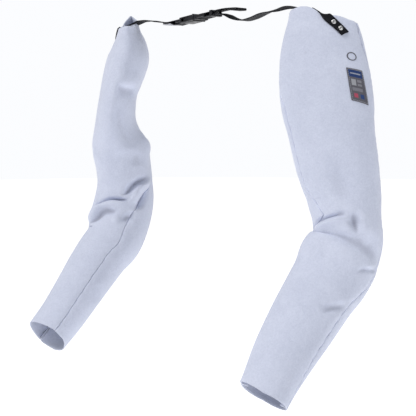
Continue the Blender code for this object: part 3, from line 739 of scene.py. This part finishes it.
def over_the_edge(sleeve, along, across):
    """Points of the strap's middle where it comes over the mouth's edge, turns down and lies outside."""
    place = FOLD_AT + along * math.cos(FOLD_TURN) + across * math.sin(FOLD_TURN)
    past = along * math.sin(FOLD_TURN) - across * math.cos(FOLD_TURN)
    degrees = np.degrees(np.arccos(np.clip(place / sleeve.rows[SHOULDER_ROW, 3], -1.0, 1.0)))
    edge_depth = sleeve.mouth_depth(degrees)
    edge, _, out = sleeve.facing(edge_depth, degrees)
    _, down, _, narrow = sleeve.axes(edge_depth)
    quarter = STRAP_LIFT * math.pi / 2
    angle = (np.clip(past, 0.0, quarter) / STRAP_LIFT)[..., None]
    turning = (edge + narrow * np.minimum(past, 0.0)[..., None]
               + (out * np.sin(angle) - down * np.cos(angle)) * STRAP_LIFT)
    lying, _, out = sleeve.facing(edge_depth + np.maximum(past - quarter, 0.0), degrees)
    return np.where((past < quarter)[..., None], turning, lying + out * STRAP_LIFT)


def end_share(along):
    """Width of the strap's end there, as a share of the webbing's."""
    t = np.clip((along + 0.018) / 0.012, 0.0, 1.0)
    return 1.0 - (1.0 - END_WIDTH / WEB_WIDTH) * t * t * (3.0 - 2.0 * t)


def strap_fold(name, sleeve, strand_end):
    """The strap's last stretch: it turns from level to the edge's slant, folds over it and lies outside."""
    stations = np.concatenate([np.linspace(END_START, 0.016, 46), np.linspace(0.017, END_LENGTH, 16)])
    over = over_the_edge(sleeve, np.repeat(stations[:, None], len(ACROSS), axis=1),
                         WEB_WIDTH * end_share(stations)[:, None] * ACROSS)
    first = level_rows([strand_end])[0]
    share = np.linspace(0.0, 1.0, 14)[:-1, None, None]
    drawn = first[None] * (1.0 - share) + over[:1] * share
    sag = np.sin(math.pi * share) * 0.0006
    drawn[..., 2] -= sag[..., 0]
    rows = np.concatenate([drawn, over])
    thick = np.concatenate([np.full(len(drawn), WEB_THICK),
                            np.interp(stations, [-0.004, 0.004], [WEB_THICK, END_THICK])])
    rows[1:-1] = (rows[:-2] + rows[1:-1] * 2.0 + rows[2:]) / 4.0
    return strip(name, rows, black_webbing, thick)


left_route = list(route_through(LEFT_STRAND)[::-1])
left_route += [tuple(buckle_point(u, -PLUG_REACH)) for u in (0.040, 0.034, 0.027, 0.0195)]
twist = [TWIST * math.exp(-((point[0] - TWIST_AT) / TWIST_REACH)**2) for point in left_route]
strap_piece = strip("left_strap_webbing", level_rows(left_route, twist), black_webbing)
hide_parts("left_webbing")
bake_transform(strap_piece)

tail_route = [tuple(buckle_point(u, -PLUG_REACH)) for u in (0.0191, 0.015)]
tail_route += [tuple(point) for point in round_bar(ADJUSTER_BAR, PLUG_REACH, -1, -1)]
tail_route += [tuple(buckle_point(u, PLUG_REACH)) for u in (0.015, 0.020, 0.025, 0.030, 0.035, 0.040)]
tail_route += [tuple(point) for point in route_through(TAIL)]
tip = np.array(tail_route[-1]) - (0.0, 0.0, HEM_RADIUS)
tail_route += [tuple(tip + (HEM_RADIUS * math.sin(a), 0.0, HEM_RADIUS * math.cos(a)))
               for a in np.radians(np.arange(20.0, 181.0, 20.0))]
hem_end = np.array(tail_route[-1])
tail_route += [tuple(hem_end + (-HEM_LENGTH * k / 4, -0.0001 * k, 0.00005 * k)) for k in (1, 2, 3, 4)]
strap_piece = strip("left_strap_tail", level_rows(tail_route), black_webbing)
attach(strap_piece, "buckle_plug_half")

BACKING_UNDER = WEB_THICK / 2 + 0.0002 + BACKING_THICK / 2
right_start = tuple(buckle_point(REAR_BAR[0] - 0.008, SOCKET_REACH + 0.0002))
back_start = buckle_point(REAR_BAR[0] - 0.008, -SOCKET_REACH - 0.0002)
right_strand = route_through([right_start] + RIGHT_STRAND)
sewn = right_strand[(right_strand[:, 0] < -0.104) & (right_strand[:, 0] > FOLD_BACK_TO)]
fold_back = route_through([tuple(back_start)] + list(sewn - (0.0, 0.0, WEB_THICK + 0.0003)), 0.002)
right_route = list(right_strand[::-1])
right_route += [tuple(point) for point in round_bar(REAR_BAR[1], SOCKET_REACH, 1, 1)]
right_route += list(fold_back)
strap_piece = strip("right_strap_webbing", level_rows(right_route), black_webbing)
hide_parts("right_webbing")
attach(strap_piece, "right_strap")

# the scrap of grey split leather sewn under the fold
backing_suede = suede("backing_suede", (0.38, 0.39, 0.42), (0.56, 0.57, 0.61), (0.20, 0.20, 0.23))
backing_route = fold_back[fold_back[:, 0] < -0.1005] - (0.0, 0.0, BACKING_UNDER)
backing = strip("sewn_backing", level_rows(backing_route), backing_suede, BACKING_THICK)
# the backing gets no painted shade and no painted highlight
add_attribute(backing.data, "hollow_shade", np.zeros(len(backing.data.vertices)))
add_attribute(backing.data, "raised", np.zeros(len(backing.data.vertices)))
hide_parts("fold_backing")
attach(backing, "right_strap")

for word, sleeve, strand_end in (("left", left_sleeve, (0.1762, 0.0030, 0.0010)),
                                 ("right", right_sleeve, (-0.1762, 0.0030, 0.0050))):
    strap_piece = strap_fold(f"{word}_strap_fold", sleeve, strand_end)
    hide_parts(f"{word}_strap_end")
    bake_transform(strap_piece)

# ---------------------------------------------------------------- rivets
# Nickel-plated tubular rivets, two through each strap end: a low domed cap with a rolled rim outside, and a
# plain washer burr inside the leather.
RIVETS_AT = (0.0178, 0.0292)
CAP_RADIUS, CAP_HEIGHT = 0.0034, 0.0015

nickel = bpy.data.materials.new("nickel_plate")
nickel.use_nodes = True
nickel_tree = nickel.node_tree
nickel_shader = nickel_tree.nodes["Principled BSDF"]
nickel_place = nickel_tree.nodes.new("ShaderNodeTexCoord").outputs["Object"]
tarnish = ranged(nickel_tree, noise(nickel_tree, nickel_place, 500.0, 4.0, 0.6), 0.35, 0.70)
nickel_tree.links.new(mix_colour(nickel_tree, tarnish, (0.72, 0.72, 0.71, 1.0), (0.50, 0.50, 0.51, 1.0)),
                      nickel_shader.inputs["Base Color"])
nickel_tree.links.new(ranged(nickel_tree, tarnish, 0.0, 1.0, 0.18, 0.40), nickel_shader.inputs["Roughness"])
nickel_shader.inputs["Metallic"].default_value = 1.0


def put_on(obj, point, out):
    """Stand a finished piece on a point, its Z along out, and apply that."""
    turned = Vector(out).to_track_quat("Z", "Y").to_matrix().to_4x4()
    obj.matrix_world = Matrix.Translation(Vector(point)) @ turned
    bpy.ops.object.select_all(action="DESELECT")
    obj.select_set(True)
    bpy.context.view_layer.objects.active = obj
    bpy.ops.object.transform_apply(location=True, rotation=True, scale=True)
    bpy.ops.object.shade_smooth_by_angle(angle=math.radians(50))
    obj.select_set(False)


def rivet_cap(name, point, out):
    """Dome, rolled rim and the top of the shank."""
    bpy.ops.mesh.primitive_uv_sphere_add(segments=40, ring_count=24, radius=CAP_RADIUS)
    cap = bpy.context.active_object
    cap.name = name
    bpy.ops.object.mode_set(mode="EDIT")
    bpy.ops.mesh.select_all(action="SELECT")
    bpy.ops.mesh.bisect(plane_co=(0, 0, 0), plane_no=(0, 0, 1), use_fill=True, clear_inner=True)
    bpy.ops.object.mode_set(mode="OBJECT")
    cap.scale = (0.96, 0.96, CAP_HEIGHT / CAP_RADIUS)
    bpy.ops.object.transform_apply(location=False, rotation=False, scale=True)
    bpy.ops.mesh.primitive_torus_add(major_segments=40, minor_segments=10, major_radius=CAP_RADIUS - 0.0004,
                                     minor_radius=0.0004)
    rim = bpy.context.active_object
    bpy.ops.mesh.primitive_cylinder_add(vertices=20, radius=0.0014, depth=0.0034, location=(0, 0, -0.0017))
    shank = bpy.context.active_object
    bpy.ops.object.select_all(action="DESELECT")
    for part in (cap, rim, shank):
        part.select_set(True)
    bpy.context.view_layer.objects.active = cap
    bpy.ops.object.join()
    cap.data.materials.append(nickel)
    put_on(cap, point, out)
    return cap


def rivet_burr(name, point, out):
    """The washer that the shank is rolled over."""
    bpy.ops.mesh.primitive_torus_add(major_segments=32, minor_segments=8, major_radius=0.0028,
                                     minor_radius=0.0010)
    burr = bpy.context.active_object
    burr.name = name
    burr.scale = (1.0, 1.0, 0.45)
    bpy.ops.object.transform_apply(location=False, rotation=False, scale=True)
    burr.data.materials.append(nickel)
    put_on(burr, point, out)
    return burr


for word, sleeve in (("left", left_sleeve), ("right", right_sleeve)):
    for height_word, along in zip(("upper", "lower"), RIVETS_AT):
        foot, ahead, behind, near, far = over_the_edge(
            sleeve, along + np.array((0.0, 0.002, -0.002, 0.0, 0.0)), np.array((0.0, 0.0, 0.0, 0.002, -0.002)))
        out = unit(np.cross(ahead - behind, near - far))
        out = out if out @ sleeve.axes(np.asarray(0.0))[3] > 0.0 else -out
        cap = rivet_cap(f"{word}_{height_word}_rivet", foot + out * (END_THICK / 2 + 0.0001), out)
        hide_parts(f"{word}_{height_word}_rivet_cap")
        inside = foot - out * (STRAP_LIFT + LEATHER_THICK + 0.0005)
        burr = rivet_burr(f"{word}_{height_word}_burr", inside, out)
        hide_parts(f"{word}_{height_word}_rivet_burr")
        for piece in (cap, burr):
            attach(piece, f"{word}_upper_sleeve")

# ---------------------------------------------------------------- label and printed ring
# A damask-woven label sewn on by its edge below the left sleeve's mouth: plain colour blocks, no lettering.
# Above it a plain ring is screen-printed on the nap.
LABEL_CORNERS = (((76.0, 66.0), (80.0, 41.0)), ((120.0, 64.0), (128.0, 36.0)))   # depth in mm, degrees
LABEL_LIFT = 0.0006
label_cloth, label_tree, label_shader, label_threads = woven_material(
    "woven_label", (0.115, 0.113, 0.135), (0.185, 0.182, 0.215), 0.0004, 0.0005)
label_uv = label_tree.nodes.new("ShaderNodeSeparateXYZ")
label_tree.links.new(label_tree.nodes.new("ShaderNodeUVMap").outputs["UV"], label_uv.inputs[0])


def block_mask(low, high, left, right):
    """1 inside a rectangle of the label, in metres down and across it."""
    sides = [math_node(label_tree, "GREATER_THAN", label_uv.outputs["X"], low),
             math_node(label_tree, "LESS_THAN", label_uv.outputs["X"], high),
             math_node(label_tree, "GREATER_THAN", label_uv.outputs["Y"], left),
             math_node(label_tree, "LESS_THAN", label_uv.outputs["Y"], right)]
    inside = sides[0]
    for other in sides[1:]:
        inside = math_node(label_tree, "MULTIPLY", inside, other)
    return inside


label_colour = label_threads
for low, high, left, right, block_colour in (
        (0.0020, 0.0120, 0.0015, 0.0225, (0.035, 0.070, 0.215)),      # blue band
        (0.0060, 0.0078, 0.0040, 0.0200, (0.42, 0.45, 0.54)),         # pale bar on it
        (0.0150, 0.0235, 0.0040, 0.0110, (0.45, 0.46, 0.50)),         # pale block
        (0.0150, 0.0185, 0.0130, 0.0200, (0.30, 0.30, 0.34)),
        (0.0205, 0.0235, 0.0130, 0.0200, (0.30, 0.30, 0.34)),
        (0.0265, 0.0310, 0.0040, 0.0200, (0.27, 0.27, 0.31)),
        (0.0345, 0.0405, 0.0150, 0.0210, (0.045, 0.090, 0.270)),      # small blue square
        (0.0345, 0.0405, 0.0050, 0.0110, (0.560, 0.105, 0.165))):     # small red square
    block = block_mask(low, high, left, right)
    label_colour = mix_colour(label_tree, block, label_colour, (*block_colour, 1.0))
label_tree.links.new(label_colour, label_shader.inputs["Base Color"])

label_top, label_bottom = np.array(LABEL_CORNERS, float)


def on_label(down, across):
    """Points and outward directions on the leather under the label, by share of its height and width."""
    down, across = np.asarray(down)[..., None], np.asarray(across)[..., None]
    start, stop = (label_top[k] * (1 - down) + label_bottom[k] * down for k in (0, 1))
    at = start * (1 - across) + stop * across
    point, _, out = left_sleeve.facing(at[..., 0] * 0.001, at[..., 1])
    return point, out


label_point, label_out = on_label(*np.meshgrid(np.linspace(0, 1, 30), np.linspace(0, 1, 15), indexing="ij"))
label_rows = label_point + label_out * LABEL_LIFT
label_piece = strip("woven_label", label_rows, label_cloth, 0.0005)
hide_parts("sleeve_label")
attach(label_piece, "left_upper_sleeve")

ink = bpy.data.materials.new("screen_ink")
ink.use_nodes = True
ink_tree = ink.node_tree
ink_shader = ink_tree.nodes["Principled BSDF"]
ink_place = ink_tree.nodes.new("ShaderNodeTexCoord").outputs["Object"]
ink_wear = ranged(ink_tree, noise(ink_tree, ink_place, 700.0, 3.0, 0.7), 0.45, 0.62)
ink_tree.links.new(mix_colour(ink_tree, ink_wear, (0.06, 0.06, 0.075, 1.0), (0.22, 0.23, 0.28, 1.0)),
                   ink_shader.inputs["Base Color"])
ink_shader.inputs["Roughness"].default_value = 0.8
RING_AT, RING_RADIUS, RING_LINE = (58.0, 54.0), 0.0070, 0.0015
turn, radius = np.meshgrid(np.linspace(0.0, 2 * math.pi, 73)[:-1],
                           np.linspace(RING_RADIUS - RING_LINE, RING_RADIUS, 4), indexing="ij")
ring_point, _, ring_out = left_sleeve.facing(
    RING_AT[0] * 0.001 + radius * np.sin(turn),
    RING_AT[1] + radius * np.cos(turn) * 1000.0 / AROUND_PER_DEGREE)
ring_grid = ring_point + ring_out * 0.00018
ring_count = len(ring_grid)
ring_mesh = bpy.data.meshes.new("printed_ring")
ring_index = np.arange(ring_count * 4).reshape(ring_count, 4)
ring_next = np.roll(ring_index, -1, axis=0)
ring_quads = np.stack([ring_index[:, :-1], ring_next[:, :-1], ring_next[:, 1:], ring_index[:, 1:]], axis=-1)
ring_mesh.from_pydata(ring_grid.reshape(-1, 3).tolist(), [], ring_quads.reshape(-1, 4).tolist())
ring_mesh.materials.append(ink)
ring = bpy.data.objects.new("printed_ring", ring_mesh)
bpy.context.scene.collection.objects.link(ring)
ink_depth = ring.modifiers.new("thickness", "SOLIDIFY")
ink_depth.thickness = 0.0002
bpy.context.view_layer.objects.active = ring
bpy.ops.object.modifier_apply(modifier=ink_depth.name)
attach(ring, "left_upper_sleeve")

# ---------------------------------------------------------------- stitching
# Bonded polyester thread: a box with a cross through the strap's fold, a row across the tail's hem, and a
# straight row just inside the label's edge. Each stitch is a short fat spindle pulled into the cloth.
STITCH_LENGTH, STITCH_GAP, THREAD_RADIUS = 0.0019, 0.0007, 0.00026


def thread_material(name, colour):
    made = bpy.data.materials.new(name)
    made.use_nodes = True
    tree = made.node_tree
    shader = tree.nodes["Principled BSDF"]
    place = tree.nodes.new("ShaderNodeTexCoord").outputs["Object"]
    twist = ranged(tree, noise(tree, place, 2600.0, 2.0, 0.6), 0.35, 0.65)
    dark = tuple(0.6 * value for value in colour)
    tree.links.new(mix_colour(tree, twist, (*dark, 1.0), (*colour, 1.0)), shader.inputs["Base Color"])
    shader.inputs["Roughness"].default_value = 0.5
    return made


pale_thread = thread_material("pale_thread", (0.52, 0.54, 0.60))
black_thread = thread_material("black_thread", (0.05, 0.05, 0.06))


def stitch_row(points, faces, surface, start, stop):
    """Spindles along a straight line of the surface; surface(a, b) gives points and the way outward."""
    start, stop = np.array(start, float), np.array(stop, float)
    ends, _ = surface(*np.stack([start, stop], axis=-1))
    count = max(1, round(np.linalg.norm(ends[1] - ends[0]) / (STITCH_LENGTH + STITCH_GAP)))
    firsts = start + (stop - start) * ((np.arange(count) + 0.1) / count)[:, None]
    lasts = start + (stop - start) * ((np.arange(count) + 0.9) / count)[:, None]
    (firsts, outs), (lasts, _) = surface(*firsts.T), surface(*lasts.T)
    rings = ((0.0, 0.35, -0.5), (0.2, 0.9, 0.25), (0.5, 1.0, 0.6), (0.8, 0.9, 0.25), (1.0, 0.35, -0.5))
    for first, last, out in zip(firsts, lasts, outs):
        run = last - first
        side = unit(np.cross(run, out))
        base = len(points)
        for share, fat, height in rings:
            middle = first + run * share + out * THREAD_RADIUS * height
            points.extend(middle + (side * math.cos(a) + out * math.sin(a)) * THREAD_RADIUS * fat
                          for a in np.radians(np.arange(0.0, 360.0, 60.0)))
        for ring_k in range(len(rings) - 1):
            low, high = base + ring_k * 6, base + ring_k * 6 + 6
            faces.extend((low + c, low + (c + 1) % 6, high + (c + 1) % 6, high + c) for c in range(6))
        faces.append(tuple(base + c for c in range(5, -1, -1)))
        faces.append(tuple(base + 24 + c for c in range(6)))


def stitches(name, surface, lines, finish, body):
    """One piece of thread: a row of stitches along each of the lines."""
    points, faces = [], []
    for start, stop in lines:
        stitch_row(points, faces, surface, start, stop)
    mesh = bpy.data.meshes.new(name)
    mesh.from_pydata([tuple(point) for point in points], [], faces)
    mesh.materials.append(finish)
    made = bmesh.new()
    made.from_mesh(mesh)
    bmesh.ops.recalc_face_normals(made, faces=made.faces)
    made.to_mesh(mesh)
    made.free()
    for polygon in mesh.polygons:
        polygon.use_smooth = True
    obj = bpy.data.objects.new(name, mesh)
    bpy.context.scene.collection.objects.link(obj)
    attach(obj, body)


def on_route(route, height):
    """The upper face over a level route, or the lower one when height is negative, by x and across."""
    route = np.array([tuple(point) for point in route])
    route = route[np.argsort(route[:, 0])]

    def surface(x, across):
        behind, here, ahead = (
            np.stack([np.interp(x + step, route[:, 0], route[:, c]) for c in range(3)], axis=-1)
            for step in (-0.002, 0.0, 0.002))
        out = unit(np.cross(ahead - behind, (0.0, math.copysign(1.0, height), 0.0)))
        return here + across[:, None] * (0.0, 1.0, 0.0) + out * abs(height), out
    return surface


BOX = (-0.1205, -0.1035, 0.0072)           # from, to and half-width of the sewn box
box_lines = [((BOX[0], -BOX[2]), (BOX[1], -BOX[2])), ((BOX[0], BOX[2]), (BOX[1], BOX[2])),
             ((BOX[0], -BOX[2]), (BOX[0], BOX[2])), ((BOX[1], -BOX[2]), (BOX[1], BOX[2])),
             ((BOX[0], -BOX[2]), (BOX[1], BOX[2])), ((BOX[0], BOX[2]), (BOX[1], -BOX[2]))]
upper_face = on_route(right_strand, WEB_THICK / 2 + 0.0001)
stitches("fold_box_stitching", upper_face, box_lines, pale_thread, "right_strap")
lower_face = on_route(fold_back, -(BACKING_UNDER + BACKING_THICK / 2))
stitches("backing_box_stitching", lower_face, box_lines, pale_thread, "right_strap")
tail_face = on_route(route_through(TAIL), WEB_THICK / 2 + 0.0001)
hem_lines = [((x, -0.0085), (x, 0.0085)) for x in (0.0275, 0.0305)]
stitches("hem_stitching", tail_face, hem_lines, black_thread, "buckle_plug_half")


def on_label_face(down, across):
    point, out = on_label(down, across)
    return point + out * (LABEL_LIFT + 0.0003), out


edge_lines = [((0.03, 0.05), (0.03, 0.95)), ((0.97, 0.05), (0.97, 0.95)), ((0.03, 0.05), (0.97, 0.05)),
              ((0.03, 0.95), (0.97, 0.95))]
stitches("label_stitching", on_label_face, edge_lines, pale_thread, "left_upper_sleeve")

# ---------------------------------------------------------------- buckle
# Side-release buckle and keeper moulded in black acetal: a faint satin spark texture, polished a little
# where it is handled. The socket carries a raised panel and a lip, and each latch pad has grip ribs.
acetal = bpy.data.materials.new("black_acetal")
acetal.use_nodes = True
acetal_tree = acetal.node_tree
acetal_shader = acetal_tree.nodes["Principled BSDF"]
acetal_place = acetal_tree.nodes.new("ShaderNodeTexCoord").outputs["Object"]
handled = ranged(acetal_tree, noise(acetal_tree, acetal_place, 120.0, 3.0, 0.6), 0.35, 0.65)
spark = noise(acetal_tree, acetal_place, 2400.0, 2.0, 0.6)
acetal_colour = mix_colour(acetal_tree, handled, (0.006, 0.006, 0.008, 1.0), (0.015, 0.016, 0.021, 1.0))
acetal_tree.links.new(acetal_colour, acetal_shader.inputs["Base Color"])
acetal_tree.links.new(ranged(acetal_tree, handled, 0.0, 1.0, 0.50, 0.30), acetal_shader.inputs["Roughness"])
acetal_bump = acetal_tree.nodes.new("ShaderNodeBump")
acetal_bump.inputs["Strength"].default_value = 0.25
acetal_bump.inputs["Distance"].default_value = 0.00015
acetal_tree.links.new(spark, acetal_bump.inputs["Height"])
acetal_tree.links.new(acetal_bump.outputs["Normal"], acetal_shader.inputs["Normal"])

for node in ("buckle_socket", "buckle_plug", "front_latch_arm", "rear_latch_arm", "keeper_loop"):
    carried = bpy.data.objects[node]
    carried.data.materials.clear()
    carried.data.materials.append(acetal)

buckle_place = Matrix.Translation(BUCKLE_AT) @ Matrix.Rotation(-BUCKLE_PITCH, 4, "Y")


def moulded(name, low, high, rounding, body):
    """A rounded block between two corners in the buckle's frame, riding with a body."""
    bpy.ops.object.select_all(action="DESELECT")
    bpy.ops.mesh.primitive_cube_add(size=1.0)
    block = bpy.context.active_object
    block.name = name
    low, high = Vector(low), Vector(high)
    sized = Matrix.Translation((low + high) / 2) @ Matrix.Diagonal((*(high - low), 1.0))
    block.matrix_world = buckle_place @ sized
    bpy.ops.object.transform_apply(location=True, rotation=True, scale=True)
    edge = block.modifiers.new("rounding", "BEVEL")
    edge.width = rounding
    edge.segments = 3
    bpy.ops.object.modifier_apply(modifier=edge.name)
    bpy.ops.object.shade_smooth_by_angle(angle=math.radians(40))
    block.data.materials.append(acetal)
    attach(block, body)
    block.select_set(False)


for sign, face_word in ((1, "top"), (-1, "under")):
    heights = sorted((sign * 0.0043, sign * 0.0051))
    moulded(f"socket_{face_word}_panel", (-0.0275, -0.0095, heights[0]), (-0.0045, 0.0095, heights[1]),
            0.0004, "right_strap")
    heights = sorted((sign * 0.0044, sign * 0.0056))
    moulded(f"socket_{face_word}_lip", (-0.0030, -0.0132, heights[0]), (-0.0012, 0.0132, heights[1]),
            0.0005, "right_strap")
for sign, arm_word in ((-1, "front"), (1, "rear")):
    for k in range(3):
        start = -0.0205 + k * 0.0024
        sides = sorted((sign * 0.0148, sign * 0.0158))
        moulded(f"{arm_word}_latch_rib_{k}", (start, sides[0], -0.0019), (start + 0.0009, sides[1], 0.0019),
                0.0002, f"{arm_word}_arm")
